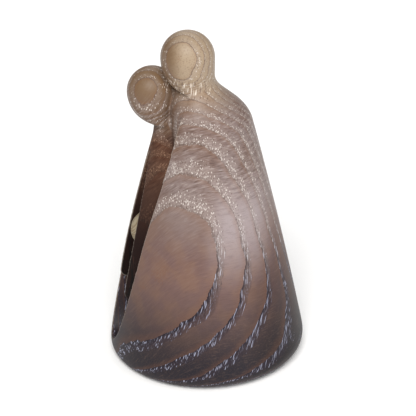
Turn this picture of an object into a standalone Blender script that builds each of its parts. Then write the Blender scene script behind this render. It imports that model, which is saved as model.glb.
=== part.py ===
"""A nativity group carved from one block of wood.

Two plain ball heads rise from one cone: the tall figure's cloak opens at the front, the smaller figure stands
inside the opening, and a child is carved in the hollow of the smaller figure's robe.
Metres, +Z up, the front faces -Y, the origin is the centre of the flat underside.
"""

import math

import bmesh
import bpy

# Cloak, which is the outer cone of the block; a reach is from the middle of the block to its outside
BACK_REACH = 0.0502         # at the floor, if its edge weren't rounded
BACK_TAPER = 0.200          # how much the reach drops for each metre of height, at the floor
BACK_BOW = 0.0070           # how far the back has bowed in besides, by the top of the tall head
SIDE_REACH = 0.0470
SIDE_TAPER = 0.195
FRONT_REACH = 0.0470
FRONT_TAPER = 0.105         # below the bend
FRONT_UPPER_TAPER = 0.283   # above the bend
FRONT_BEND = 0.0520         # height of the bend
FRONT_FOOT_ROUNDING = 0.0050
BACK_FOOT_ROUNDING = 0.0095
SIDE_FOOT_ROUNDING = 0.0088

# Tall figure, behind
TALL_HEAD_RADIUS = 0.0124
TALL_HEAD_X = 0.0020        # how far the head has leaned to its side
TALL_HEAD_Y = -0.0081
TALL_HEAD_Z = 0.1544
TALL_CHIN_STRETCH = 1.35    # lower half of the head against a ball
TALL_NECK_FRONT = -0.0105
TALL_NECK_BACK = TALL_HEAD_Y + TALL_HEAD_RADIUS     # plumb under the back of the head
TALL_NECK_HALF_WIDTH = 0.0095
TALL_LEAN_LATENESS = 4      # how late, going up, the tall figure starts to lean
TALL_NECK_FOOT = 0.1411     # height where the neck turns into the shoulder
SHOULDER_SPREAD = 1.15      # how far the shoulder runs out for each metre that it drops, at the back
SIDE_SHOULDER_SPREAD = 0.95     # the same at the sides
SHOULDER_ROUNDING = 0.0055
BACK_SHOULDER_ROUNDING = 0.0040     # where the shoulder meets the cloak's back
NECK_ROUNDING = 0.0060      # where the neck meets the shoulder

# Small figure, in front
SMALL_HEAD_RADIUS = 0.0118
SMALL_HEAD_X = -0.0070
SMALL_HEAD_Y = -0.5 * FRONT_REACH
SMALL_HEAD_Z = 0.1345
SMALL_CHIN_STRETCH = 1.15
SMALL_NECK_FRONT = SMALL_HEAD_Y - 0.0022
SMALL_NECK_BACK = -0.0040
SMALL_NECK_HALF_WIDTH = 0.0095
SMALL_NECK_FOOT = 0.1145
SMALL_NAPE_SLOPE = 0.9      # how far the nape runs back for each metre down to the neck's foot
ROBE_SPREAD = 0.30          # how far the robe runs out below the neck for each metre that it drops
ROBE_SIDE_SPREAD = 1.0      # the same at the sides
ROBE_PROUD = 0.0011         # how far its middle stands out in front of the cloak
ROBE_SINK = 0.0045          # how far the robe lies behind the cloak's edge, at that edge
ROBE_WIDTH_SHARE = 1.12     # half-width of the robe's oval against that of the opening
ROBE_HEM = 0.0335           # height where the robe's two sides end, over the hollow
ROBE_HEM_ROUNDING = 0.0040
LEAN_START = 0.1000         # height from which the small figure leans to its head's side

# Opening of the cloak, seen from the front
OPENING_TOP = 0.1405
OPENING_TOP_ROUNDNESS = 5   # of its upper half, where a high value makes a broad dome
OPENING_SILL = 0.0065
OPENING_WIDEST = 0.0600     # height of its widest place
OPENING_HALF_WIDTH = 0.0176
OPENING_ROUNDNESS = 2.15    # of its lower half; 2 is an ellipse
OPENING_BACK_WALL = -0.0070
CHEST_FRONT = -0.35 * FRONT_REACH   # of the tall figure's chest, behind the small figure
CHEST_COVER = 0.0010        # how deep its sides stay under the shoulders
CHEST_TOP = 0.1420
CHEST_FULL = 0.1280         # height below which the chest is at its full front

# Hollow in the robe, seen from the front
HOLLOW_TOP = 0.1070
HOLLOW_WIDEST = 0.0450
HOLLOW_HALF_WIDTH = 0.0108
HOLLOW_SLENDERNESS = 1.6    # with the next value, how its sides curve in to the top
HOLLOW_FULLNESS = 0.62
HOLLOW_BACK_WALL = -0.3 * FRONT_REACH

# Child in the hollow
CHILD_HEAD_RADIUS = 0.0092
CHILD_HEAD_Y = 0.0206 - FRONT_REACH
CHILD_HEAD_Z = 0.0655
CHILD_BODY_HALF_WIDTH = 0.0072
CHILD_BODY_FRONT = CHILD_HEAD_Y - 0.0026
CHILD_FEET_Z = OPENING_SILL - 0.0020
CHILD_FEET_WIDTH_SHARE = 0.55
CHILD_FEET_DEPTH_SHARE = 0.60
CHILD_ROOT = 0.0015         # how deep its back is sunk in the wall behind it

# How finely the solid is made
CARVING_STEP = 0.0005       # size of the small cells that fuse the forms
EDGE_SOFTENING = 16         # rounds of smoothing, as sanding does
FACETS = 8800               # triangles of the finished solid, roughly
CELL_FACES_SHARE = 2.0      # faces of the small cells, hollows too, against the block's plain outside
RING_POINTS = 72
RING_STEP = 0.0012
UNDERCUT = 0.0030           # how far the block is modelled below the floor, before it is sawn flat
CUTTER_REACH = 4 * BACK_REACH
STEEPEST_EDGE = 0.9         # widest that the opening may be against the cloak, as a share

WOOD_COLOUR = (0.27, 0.19, 0.14, 1)
WOOD_ROUGHNESS = 0.42


def blend_out(a, b, rounding):
    """The larger of two values, with the corner between them rounded."""
    near = max(rounding - abs(a - b), 0.0) / rounding
    return max(a, b) + near * near * rounding / 4


def blend_in(a, b, rounding):
    """The smaller of two values, with the corner between them rounded."""
    return -blend_out(-a, -b, rounding)


def ball_reach(radius, height, stretch=1.0):
    """Half-width of a ball at a height over its centre; its lower half may be stretched."""
    if height < 0:
        height /= stretch
    return math.sqrt(max(radius * radius - height * height, 0.0))


def with_head(profile, ball, part):
    """Joins a body's profile with the lower half of a head; part runs from 0 at its middle to 1 at its chin."""
    softness = SHOULDER_ROUNDING * 2 * math.sqrt(max(part - part * part, 0.0))
    return blend_out(profile, ball, softness) if softness > 0 else max(profile, ball)


def foot_inset(z, rounding):
    """How far the rounded edge round the underside draws in."""
    drop = min(max(rounding - z, 0.0), rounding)
    return rounding - math.sqrt(rounding * rounding - drop * drop)


def cloak_front(z):
    upper = FRONT_REACH - FRONT_TAPER * FRONT_BEND - FRONT_UPPER_TAPER * (z - FRONT_BEND)
    return blend_in(FRONT_REACH - FRONT_TAPER * z, upper, SHOULDER_ROUNDING)


def cloak_back(z):
    share = z / (TALL_HEAD_Z + TALL_HEAD_RADIUS)
    return BACK_REACH - BACK_TAPER * z - BACK_BOW * share * share


def cloak_side(z):
    return SIDE_REACH - SIDE_TAPER * z


def opening_half_width(z):
    """Half-width of the cloak's opening: an oval below its widest place and a broad dome above it."""
    if z > OPENING_WIDEST:
        part = (z - OPENING_WIDEST) / (OPENING_TOP - OPENING_WIDEST)
        roundness = OPENING_TOP_ROUNDNESS
    else:
        part = (OPENING_WIDEST - z) / (OPENING_WIDEST - OPENING_SILL)
        roundness = OPENING_ROUNDNESS
    return OPENING_HALF_WIDTH * max(1 - part ** roundness, 0.0) ** (1 / roundness)


def hollow_half_width(z):
    """Half-width of the hollow in the robe, which is a lancet."""
    part = max(z - HOLLOW_WIDEST, 0.0) / (HOLLOW_TOP - HOLLOW_WIDEST)
    return HOLLOW_HALF_WIDTH * max(1 - part ** HOLLOW_SLENDERNESS, 0.0) ** HOLLOW_FULLNESS


def heights(low, high):
    """Evenly spaced heights, closer together at both ends so that round ends stay round."""
    count = max(int(round((high - low) / RING_STEP)), 12)
    return [low + (high - low) * (1 - math.cos(math.pi * i / count)) / 2 for i in range(count + 1)]


def ring(bm, z, x, front, back, half_width):
    """One level oval of the block, between its front and its back."""
    middle = (front + back) / 2
    depth = (back - front) / 2
    points = []
    for i in range(RING_POINTS):
        turn = 2 * math.pi * i / RING_POINTS
        points.append(bm.verts.new((x + half_width * math.cos(turn), middle + depth * math.sin(turn), z)))
    return points


def skin(bm, rings):
    """Joins rings, lowest first, into one closed body."""
    for low, high in zip(rings, rings[1:]):
        for i in range(len(low)):
            j = (i + 1) % len(low)
            bm.faces.new((low[i], low[j], high[j], high[i]))
    bm.faces.new(tuple(reversed(rings[0])))
    bm.faces.new(tuple(rings[-1]))


def new_object(name, bm, guide=False):
    mesh = bpy.data.meshes.new(name)
    bmesh.ops.recalc_face_normals(bm, faces=bm.faces)
    bm.to_mesh(mesh)
    bm.free()
    body = bpy.data.objects.new(name, mesh)
    bpy.context.scene.collection.objects.link(body)
    if guide:
        body.hide_render = True
        body.display_type = "WIRE"
    return body


def oval_body(name, section, low, high):
    """A body of level ovals; section(z) gives each oval's middle x, front, back and half-width."""
    bm = bmesh.new()
    rings = []
    for z in heights(low, high):
        x, front, back, half_width = section(z)
        rings.append(ring(bm, z, x, front, back, half_width))
    skin(bm, rings)
    return new_object(name, bm, guide=True)


def front_cutter(name, half_width, low, high, back_wall):
    """A cutter that enters from the front with a given outline, down to an upright back wall."""
    levels = heights(low, high)
    outline = [(half_width(z), z) for z in levels] + [(-half_width(z), z) for z in reversed(levels)]
    bm = bmesh.new()
    near = [bm.verts.new((x, -CUTTER_REACH, z)) for x, z in outline]
    far = [bm.verts.new((x, back_wall, z)) for x, z in outline]
    bmesh.ops.remove_doubles(bm, verts=near + far, dist=1e-6)
    near = [v for v in bm.verts if v.co.y < -CUTTER_REACH / 2]
    far = [v for v in bm.verts if v.co.y > -CUTTER_REACH / 2]
    for i in range(len(near)):
        j = (i + 1) % len(near)
        bm.faces.new((near[i], near[j], far[j], far[i]))
    bm.faces.new(near)
    bm.faces.new(far)
    return new_object(name, bm, guide=True)


def tall_section(z):
    """The tall figure: cloak, shoulder, neck and head, in one oval for each height."""
    slope = (TALL_NECK_FOOT - z) * SHOULDER_SPREAD
    cone_front = cloak_front(z) - foot_inset(z, FRONT_FOOT_ROUNDING)
    cone_back = cloak_back(z) - foot_inset(z, BACK_FOOT_ROUNDING)
    cone_side = cloak_side(z) - foot_inset(z, SIDE_FOOT_ROUNDING)
    ball = ball_reach(TALL_HEAD_RADIUS, z - TALL_HEAD_Z, TALL_CHIN_STRETCH)
    if z >= TALL_HEAD_Z:
        return TALL_HEAD_X, TALL_HEAD_Y - ball, TALL_HEAD_Y + ball, ball
    side_slope = (TALL_NECK_FOOT - z) * SIDE_SHOULDER_SPREAD
    back = blend_in(cone_back, TALL_NECK_BACK + slope, BACK_SHOULDER_ROUNDING)
    back = blend_out(back, TALL_NECK_BACK, SHOULDER_ROUNDING)
    front = blend_in(cone_front, slope - TALL_NECK_FRONT, NECK_ROUNDING)
    front = blend_out(front, -TALL_NECK_FRONT, NECK_ROUNDING)
    side = blend_in(cone_side, TALL_NECK_HALF_WIDTH + side_slope, NECK_ROUNDING)
    side = blend_out(side, TALL_NECK_HALF_WIDTH, NECK_ROUNDING)
    part = (TALL_HEAD_Z - z) / (TALL_HEAD_RADIUS * TALL_CHIN_STRETCH)
    if part < 1:
        back = max(back, TALL_HEAD_Y + ball)
        front = with_head(front, ball - TALL_HEAD_Y, part)
        side = with_head(side, ball, part)
    x = TALL_HEAD_X * max(z / TALL_HEAD_Z, 0.0) ** TALL_LEAN_LATENESS
    return x, -front, back, side


def small_section(z):
    """The small figure: robe, neck and head."""
    ball = ball_reach(SMALL_HEAD_RADIUS, z - SMALL_HEAD_Z, SMALL_CHIN_STRETCH)
    if z >= SMALL_HEAD_Z:
        return SMALL_HEAD_X, SMALL_HEAD_Y - ball, SMALL_HEAD_Y + ball, ball
    slope = max(SMALL_NECK_FOOT - z, 0.0) * ROBE_SPREAD
    front = blend_in(cloak_front(z) + ROBE_PROUD, slope - SMALL_NECK_FRONT, SHOULDER_ROUNDING)
    front -= foot_inset(z - ROBE_HEM, ROBE_HEM_ROUNDING)
    edge = opening_half_width(min(z, OPENING_WIDEST))
    widest = edge * ROBE_WIDTH_SHARE
    side_slope = max(SMALL_NECK_FOOT - z, 0.0) * ROBE_SIDE_SPREAD
    side = blend_in(widest, SMALL_NECK_HALF_WIDTH + side_slope, SHOULDER_ROUNDING)
    # The robe's oval is as deep as it takes to lie a little behind the cloak where the cloak's edge is
    steepness = min(edge / cloak_side(z), STEEPEST_EDGE)
    cloak_edge = cloak_front(z) * math.sqrt(1 - steepness ** 2)
    fall = 1 - math.sqrt(1 - 1 / ROBE_WIDTH_SHARE ** 2)
    depth = (cloak_front(z) + ROBE_PROUD - cloak_edge + ROBE_SINK) / fall
    nape = SMALL_NECK_BACK - (z - SMALL_NECK_FOOT) * SMALL_NAPE_SLOPE
    back = blend_in(2 * depth - front, nape, SHOULDER_ROUNDING)
    part = (SMALL_HEAD_Z - z) / (SMALL_HEAD_RADIUS * SMALL_CHIN_STRETCH)
    if part < 1:
        front = with_head(front, ball - SMALL_HEAD_Y, part)
        side = with_head(side, ball, part)
        back = with_head(back, SMALL_HEAD_Y + ball, part)
    lean = min(max((z - LEAN_START) / (SMALL_HEAD_Z - LEAN_START), 0.0), 1.0)
    x = SMALL_HEAD_X * lean * lean * (3 - 2 * lean)
    return x, -front, back, side


def chest_section(z):
    """The tall figure's chest and robe, the rounded back of the cloak's opening."""
    drop = min(max(CHEST_TOP - z, 0.0) / (CHEST_TOP - CHEST_FULL), 1.0)
    swell = math.sqrt(1 - (1 - drop) ** 2)
    front = OPENING_BACK_WALL + (CHEST_FRONT - OPENING_BACK_WALL) * swell
    width = min(OPENING_HALF_WIDTH * (1 + swell) / 2, tall_section(z)[3] - CHEST_COVER)
    return 0.0, front, 0.0, width


def child_section(z):
    """The child: a ball head on a slim wrapped body that stands against the hollow's back wall."""
    ball = ball_reach(CHILD_HEAD_RADIUS, z - CHILD_HEAD_Z)
    if z >= CHILD_HEAD_Z:
        return 0.0, CHILD_HEAD_Y - ball, CHILD_HEAD_Y + ball, ball
    height = (z - CHILD_FEET_Z) / (CHILD_HEAD_Z - CHILD_FEET_Z)
    swell = math.sin(math.pi * height * height)
    width = CHILD_BODY_HALF_WIDTH * (CHILD_FEET_WIDTH_SHARE + (1 - CHILD_FEET_WIDTH_SHARE) * swell)
    depth = CHILD_FEET_DEPTH_SHARE + (1 - CHILD_FEET_DEPTH_SHARE) * swell
    front = HOLLOW_BACK_WALL + (CHILD_BODY_FRONT - HOLLOW_BACK_WALL) * depth
    back = HOLLOW_BACK_WALL + CHILD_ROOT
    return 0.0, min(front, CHILD_HEAD_Y - ball), max(back, CHILD_HEAD_Y + ball), max(width, ball)


def combine(body, other, how):
    cut = body.modifiers.new(other.name, "BOOLEAN")
    cut.operation = how
    cut.solver = "EXACT"
    cut.object = other


def saw_cut():
    """Everything below the floor, which is sawn off flat."""
    bm = bmesh.new()
    bmesh.ops.create_cube(bm, size=CUTTER_REACH)
    bmesh.ops.translate(bm, verts=bm.verts, vec=(0.0, 0.0, -CUTTER_REACH / 2))
    return new_object("saw_cut", bm, guide=True)


def wood():
    material = bpy.data.materials.new("limed_wood")
    material.use_nodes = True
    shader = material.node_tree.nodes["Principled BSDF"]
    shader.inputs["Base Color"].default_value = WOOD_COLOUR
    shader.inputs["Roughness"].default_value = WOOD_ROUGHNESS
    shader.inputs["Metallic"].default_value = 0.0
    material.diffuse_color = WOOD_COLOUR
    return material


def middle_of_foot():
    """How far the middle between the block's foremost and rearmost points lies from y = 0."""
    sections = [tall_section(z) for z in heights(0.0, TALL_NECK_FOOT)]
    foremost = min(front for x, front, back, side in sections)
    rearmost = max(back for x, front, back, side in sections)
    return (foremost + rearmost) / 2


def facet_share(top):
    """Share of the small cells' triangles that leaves the wanted number of facets."""
    levels = heights(0.0, top)
    area = 0.0
    for low, high in zip(levels, levels[1:]):
        x, front, back, side = tall_section((low + high) / 2)
        area += math.pi * ((back - front) / 2 + side) * (high - low)
    cells = 2 * area * CELL_FACES_SHARE / CARVING_STEP ** 2
    return FACETS / cells


def build():
    for old in list(bpy.data.objects):
        bpy.data.objects.remove(old)

    tall_top = TALL_HEAD_Z + TALL_HEAD_RADIUS
    block = oval_body("nativity_sculpture", tall_section, -UNDERCUT, tall_top)
    block.hide_render = False
    block.display_type = "TEXTURED"
    block.data.materials.append(wood())

    opening = front_cutter("opening_cutter", opening_half_width, OPENING_SILL, OPENING_TOP, OPENING_BACK_WALL)
    small = oval_body("small_figure_form", small_section, ROBE_HEM, SMALL_HEAD_Z + SMALL_HEAD_RADIUS)
    hollow_foot = ROBE_HEM - ROBE_HEM_ROUNDING
    hollow = front_cutter("hollow_cutter", hollow_half_width, hollow_foot, HOLLOW_TOP, HOLLOW_BACK_WALL)
    chest = oval_body("chest_form", chest_section, OPENING_SILL / 2, CHEST_TOP)
    child = oval_body("child_form", child_section, CHILD_FEET_Z, CHILD_HEAD_Z + CHILD_HEAD_RADIUS)

    # The opening is cut round the tall figure's chest, which stays part of the block
    combine(opening, chest, "DIFFERENCE")
    combine(block, opening, "DIFFERENCE")
    combine(block, small, "UNION")
    combine(block, hollow, "DIFFERENCE")
    combine(block, child, "UNION")

    fuse = block.modifiers.new("fuse", "REMESH")
    fuse.mode = "VOXEL"
    fuse.voxel_size = CARVING_STEP
    sand = block.modifiers.new("sand", "SMOOTH")
    sand.factor = 0.5
    sand.iterations = EDGE_SOFTENING
    thin = block.modifiers.new("facets", "DECIMATE")
    thin.ratio = facet_share(tall_top)
    floor = saw_cut()
    combine(block, floor, "DIFFERENCE")

    # The whole group stands on one empty, so that the middle of its foot is at the origin
    stand = bpy.data.objects.new("stand", None)
    stand.location.y = -middle_of_foot()
    bpy.context.scene.collection.objects.link(stand)
    for piece in (block, opening, small, hollow, chest, child, floor):
        piece.parent = stand


build()
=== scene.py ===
"""Looks of the carved wooden nativity group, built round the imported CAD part.

The same forms as in the CAD part are carved again on finer steps, so that the sanded surface is smooth. The
wood is worked out in the block's own coordinates: year rings round a pith line, and limed pores along them.
"""

import math
from types import SimpleNamespace

import bmesh
import bpy
import numpy as np
from mathutils import Matrix, Vector


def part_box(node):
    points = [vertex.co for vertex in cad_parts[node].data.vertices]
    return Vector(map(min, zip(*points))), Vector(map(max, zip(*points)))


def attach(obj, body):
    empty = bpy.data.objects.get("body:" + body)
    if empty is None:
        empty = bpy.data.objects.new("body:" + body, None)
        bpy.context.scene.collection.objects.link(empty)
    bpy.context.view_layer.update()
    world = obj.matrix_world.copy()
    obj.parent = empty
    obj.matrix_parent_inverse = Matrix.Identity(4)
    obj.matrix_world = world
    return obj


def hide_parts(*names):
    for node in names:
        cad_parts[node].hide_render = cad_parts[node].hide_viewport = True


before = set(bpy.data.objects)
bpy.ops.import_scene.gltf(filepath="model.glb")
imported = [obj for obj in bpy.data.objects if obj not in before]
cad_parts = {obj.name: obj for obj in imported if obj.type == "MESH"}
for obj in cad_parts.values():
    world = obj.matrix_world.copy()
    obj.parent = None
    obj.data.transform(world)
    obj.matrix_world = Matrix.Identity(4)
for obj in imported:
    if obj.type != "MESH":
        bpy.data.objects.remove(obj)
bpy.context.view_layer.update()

NODE = "nativity_sculpture"

# Cloak, which is the outer cone of the block; a reach is from the middle of the block to its outside
BACK_REACH = 0.0502         # at the floor, if its edge weren't rounded
BACK_TAPER = 0.200          # how much the reach drops for each metre of height, at the floor
BACK_BOW = 0.0070           # how far the back has bowed in besides, by the top of the tall head
SIDE_REACH = 0.0470
SIDE_TAPER = 0.195
FRONT_REACH = 0.0470
FRONT_TAPER = 0.105         # below the bend
FRONT_UPPER_TAPER = 0.283   # above the bend
FRONT_BEND = 0.0520         # height of the bend
FRONT_FOOT_ROUNDING = 0.0050
BACK_FOOT_ROUNDING = 0.0095
SIDE_FOOT_ROUNDING = 0.0088

# Tall figure, behind
TALL_HEAD_RADIUS = 0.0124
TALL_HEAD_X = 0.0020        # how far the head has leaned to its side
TALL_HEAD_Y = -0.0081
TALL_HEAD_Z = 0.1544
TALL_CHIN_STRETCH = 1.35    # lower half of the head against a ball
TALL_NECK_FRONT = -0.0105
TALL_NECK_BACK = TALL_HEAD_Y + TALL_HEAD_RADIUS     # plumb under the back of the head
TALL_NECK_HALF_WIDTH = 0.0095
TALL_LEAN_LATENESS = 4      # how late, going up, the tall figure starts to lean
TALL_NECK_FOOT = 0.1411     # height where the neck turns into the shoulder
SHOULDER_SPREAD = 1.15      # how far the shoulder runs out for each metre that it drops, at the back
SIDE_SHOULDER_SPREAD = 0.95     # the same at the sides
SHOULDER_ROUNDING = 0.0055
BACK_SHOULDER_ROUNDING = 0.0040     # where the shoulder meets the cloak's back
NECK_ROUNDING = 0.0060      # where the neck meets the shoulder

# Small figure, in front
SMALL_HEAD_RADIUS = 0.0118
SMALL_HEAD_X = -0.0070
SMALL_HEAD_Y = -0.5 * FRONT_REACH
SMALL_HEAD_Z = 0.1345
SMALL_CHIN_STRETCH = 1.15
SMALL_NECK_FRONT = SMALL_HEAD_Y - 0.0022
SMALL_NECK_BACK = -0.0040
SMALL_NECK_HALF_WIDTH = 0.0095
SMALL_NECK_FOOT = 0.1145
SMALL_NAPE_SLOPE = 0.9      # how far the nape runs back for each metre down to the neck's foot
ROBE_SPREAD = 0.30          # how far the robe runs out below the neck for each metre that it drops
ROBE_SIDE_SPREAD = 1.0      # the same at the sides
ROBE_PROUD = 0.0011         # how far its middle stands out in front of the cloak
ROBE_SINK = 0.0045          # how far the robe lies behind the cloak's edge, at that edge
ROBE_WIDTH_SHARE = 1.12     # half-width of the robe's oval against that of the opening
ROBE_HEM = 0.0335           # height where the robe's two sides end, over the hollow
ROBE_HEM_ROUNDING = 0.0040
LEAN_START = 0.1000         # height from which the small figure leans to its head's side

# Opening of the cloak, seen from the front
OPENING_TOP = 0.1405
OPENING_TOP_ROUNDNESS = 5   # of its upper half, where a high value makes a broad dome
OPENING_SILL = 0.0065
OPENING_WIDEST = 0.0600     # height of its widest place
OPENING_HALF_WIDTH = 0.0176
OPENING_ROUNDNESS = 2.15    # of its lower half; 2 is an ellipse
OPENING_BACK_WALL = -0.0070
CHEST_FRONT = -0.35 * FRONT_REACH   # of the tall figure's chest, behind the small figure
CHEST_COVER = 0.0010        # how deep its sides stay under the shoulders
CHEST_TOP = 0.1420
CHEST_FULL = 0.1280         # height below which the chest is at its full front

# Hollow in the robe, seen from the front
HOLLOW_TOP = 0.1070
HOLLOW_WIDEST = 0.0450
HOLLOW_HALF_WIDTH = 0.0108
HOLLOW_SLENDERNESS = 1.6    # with the next value, how its sides curve in to the top
HOLLOW_FULLNESS = 0.62
HOLLOW_BACK_WALL = -0.3 * FRONT_REACH

# Child in the hollow
CHILD_HEAD_RADIUS = 0.0092
CHILD_HEAD_Y = 0.0206 - FRONT_REACH
CHILD_HEAD_Z = 0.0655
CHILD_BODY_HALF_WIDTH = 0.0072
CHILD_BODY_FRONT = CHILD_HEAD_Y - 0.0026
CHILD_FEET_Z = OPENING_SILL - 0.0020
CHILD_FEET_WIDTH_SHARE = 0.55
CHILD_FEET_DEPTH_SHARE = 0.60
CHILD_ROOT = 0.0015         # how deep its back is sunk in the wall behind it

# How finely the shown piece is carved
MM = 1000.0                 # millimetres in a metre
CARVING_STEP = 0.00035      # size of the small cells that fuse the forms
EDGE_SOFTENING = 24         # rounds of smoothing, as sanding does
SANDING = 0.5               # how far each round of it goes
FACETS = 180000             # triangles of the shown piece, roughly
RING_POINTS = 144           # points round each level oval
RING_STEP = 0.0008          # height from one oval to the next, roughly
UNDERCUT = 0.0030           # how far the block runs on below the floor before it is sawn off
CUTTER_REACH = 4 * BACK_REACH
STEEPEST_EDGE = 0.9         # limit of the opening's width against the cloak's, where the robe is fitted

# Camera, as the photograph was taken
CAMERA_AZIMUTH = 82.5       # degrees round from the front
CAMERA_ELEVATION = 29.0
CAMERA_DISTANCE = 0.78
CAMERA_TARGET = Vector((0.0, -0.0009, 0.075))
IMAGE_SIZE = 416            # pixels on each side
FOCAL_PIXELS = 1640         # focal length, in pixels of the image
PRINCIPAL_X = 205           # pixel column that the camera's axis meets
SENSOR = 36.0               # millimetres

# Studio
ROOM_LIGHT = 0.20           # strength of the even light from all round
LAMPS_AIM = Vector((0, 0, 0.08))
# Each lamp's name, side and height in degrees, distance, size, power and colour
LAMPS = (
    ("window", 140, 55, 0.9, 0.35, 0.8, (1.0, 0.99, 0.97)),
    ("side", 119, 6, 0.7, 0.3, 0.9, (0.93, 0.94, 1.0)),
    ("far_fill", 262, 35, 1.2, 0.8, 2.5, (0.97, 0.98, 1.0)),
)
SKY_AZIMUTH = 76
SKY_ELEVATION = 50
SKY_SPREAD = 40             # degrees across
SKY_POWER = 3.3
SKY_COLOUR = (1.0, 0.99, 0.97)
FLOOR_SHADE = 0.99
FLOOR_ROUGHNESS = 0.8
FLOOR_REACH = 3.0
FLOOR_DROP = 0.0001         # how far it lies below the foot, so that the two don't flicker

# Rings, in millimetres of the block's own frame
RING_REFERENCE_Z = 59.0
PITH_X = -15.7              # the pith line at the reference height
PITH_Y = 6.5
PITH_X_SLOPE = -0.212       # how it wanders on the way up
PITH_X_BOW = 0.00245
PITH_X_TWIST = -0.000003
PITH_Y_SLOPE = 0.017
PITH_Y_TWIST = 0.000002
OUTER_RING_RADIUS = 53.8    # radius of the youngest wood, at the middle of the large oval
FIRST_RING_DEPTH = 2.2      # depth of the first ring below it
RING_GROWTH = 1.17          # how the depth of a ring grows with its number
LEAST_DEPTH = 0.001         # keeps the ring number real above the youngest wood
WIDE_WOBBLE = 1.8           # how far the rings stray, in long waves and in short ones
SMALL_WOBBLE = 0.6
WIDE_WAVES = 0.03           # waves in each millimetre
SMALL_WAVES = 0.14
FRAYING = 0.16              # how ragged the bands' edges are, in rings
FRAYING_WAVES = 0.9
FRAYING_HEIGHTS = (40.0, 100.0, 0.3, 1.0)   # from the first height to the second, its share of full

# Ovals on the heads: the way each faces, and the depth of its first ring
TALL_OVAL_FACING = (0.865, -0.389, 0.280)
TALL_OVAL_DEPTH = 2.2
SMALL_OVAL_FACING = (0.80, -0.37, 0.40)
SMALL_OVAL_DEPTH = 1.2
HEAD_OVAL_STRETCH = 0.010       # how much it is drawn out upwards
HEAD_OVAL_WOBBLE = 1.2
HEAD_OVAL_EDGE = (0.5, 5.0)     # from here to there outside a head, its oval gives way to the block's rings

# Pore bands; a part runs from 0 at a year's first pores to 1 at its end
FIRST_BAND = (0.80, 0.98)       # ring number at which the pores set in
BAND_WIDTH = (60.0, 115.0, 0.30, 0.60)      # from the first height to the second, its part of the year
BAND_FULLNESS = 0.5             # power that keeps a band strong nearly to its end
BAND_ON_HEADS = 0.55            # strength of the bands there, against the body's
RING_EDGE = (0.10, 0.04)        # part of the year over which a ring's dark edge sets in
LATE_PART = (0.75, 1.0, 0.0, 0.25)      # part of the year that is late wood, and how strongly it shows
LEAN_TOP = 45.0                 # height below which the pores lean back
GRAIN_LEAN = 0.3                # how far they lean for each millimetre down
PORE_RIM = (0.55, 0.25)         # from a pore's rim to its full colour, in pore widths
PORE_CHANCE = (1.0, 1.1)        # a tube shows where its own number and the band add up to this
# Each kind of pore's depth, width and length in millimetres, and how crowded it is
LONG_PORE = (1.0, 0.34, 5.0, 1.05)
SHORT_PORE = (0.42, 0.42, 1.1, 0.90)
DRIP_PORE = (1.0, 0.55, 5.0, 0.8)
LONG_PORE_ONSET = (0.0, 0.6)    # share of the way down over which the long ones come in
SHORT_PORE_LOW_DOWN = 0.1       # how strongly the short ones show near the foot
SHORT_LIMED = (0.42, 0.48, 0.0, 0.85)       # which of them are filled with lime, and how strongly
SHORT_OPEN = (0.40, 0.35, 0.0, 0.75)        # which stay open and dark
LONG_LIMED = (0.25, 0.85, 0.0, 0.95)
LONG_OPEN = (0.30, 0.25, 0.0, 0.8)
DRIP_LIMED = (0.45, 0.55, 0.0, 0.9)
DRIP_OPEN = (0.40, 0.35, 0.0, 0.6)
BAND_DARKNESS = (0.0, 1.0, 0.40, 0.85)      # how strong the ground between the pores is, high up to low down
EDGE_ON_HEADS = 0.65            # how dark a ring's edge is there

# Where the looks change, each from the first millimetre to the second
LOW_DOWN = (95.0, 40.0)
ON_HEADS = (122.0, 140.0)
SLATE_TO_BROWN = (10.0, 60.0)
BROWN_TO_MAUVE = (62.0, 92.0)
MAUVE_TO_TAN = (128.0, 146.0)
# Small head: a darker stain with painted shade, from the first millimetre to the second
SMALL_HEAD_Y_DARKENING = (-12.0, -19.0)
SMALL_HEAD_Z_DARKENING = (112.0, 120.0)
SMALL_HEAD_DARKENING_SHARE = 0.75
# Painted shade on the far side, from the first millimetre to the second
FAR_SIDE_Y = (10.0, 30.0)
FAR_SIDE_Z = (78.0, 48.0)
# Painted sheen on the front of the body, from the first millimetre to the second
SHEEN_FRONT = (-8.0, 6.0)
SHEEN_BACK = (32.0, 18.0)
SHEEN_LOW = (46.0, 80.0)
SHEEN_HIGH = (110.0, 84.0)
SHEEN_SHARE = 0.58
CHIN_LOW = (137.0, 141.0)
CHIN_HIGH = (149.0, 145.0)
CHIN_FRONT = (-22.0, -18.0)
CHIN_BACK = (3.0, -3.0)
# Robe's darker stain and painted shade, from the first millimetre to the second
ROBE_DARKER = (118.0, 62.0)
ROBE_EDGE = (0.0, 1.5)
ROBE_TOP = (124.0, 112.0)
RECESS_DEPTH = (4.0, 10.0, 0.0, 0.90)       # inside the cloak's outside, and how strong its painted shade is
PALE_EDGE_SHARPNESS = (0.22, 0.8, 0.0, 0.45)     # surface turn in each millimetre, and how much is rubbed off and painted pale as a highlight
CHILD_HEAD_MARGIN = 1.0         # how far outside the child's head the stain has come in fully

# Blotches in the stain: waves in each millimetre, and the span of the noise from one colour to the other
BLOTCH_WAVES = 0.045
BLOTCH_SPAN = (0.38, 0.62)
PATCH_WAVES = 0.11
PATCH_SPAN = (0.36, 0.64)
MOTTLE_WAVES = 1.5
MOTTLE_SPAN = (0.48, 0.68)
MOTTLE_SHARE = (0.10, 0.35)     # on the body and on the heads

# Brushed rays
RAY_CLIMB = 0.0235              # how steeply they climb from the front edge
RAY_WAVES_ALONG = 0.25
RAY_WAVES_UP = 1.5
RAY_FADE_ON_HEADS = (140.0, 124.0, 0.1, 1.0)    # heights, and the rays' strength at each
RAY_FADE_ON_SHOULDER = (105.0, 82.0, 1.0, 0.25)
PALE_RAY_SPAN = (0.50, 0.72)
PALE_RAY_SHARE = 0.60
DARK_RAY_SPAN = (0.50, 0.30)
DARK_RAY_SHARE = 0.65
CHILD_RAY_SPAN = (0.35, 0.62)

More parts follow.
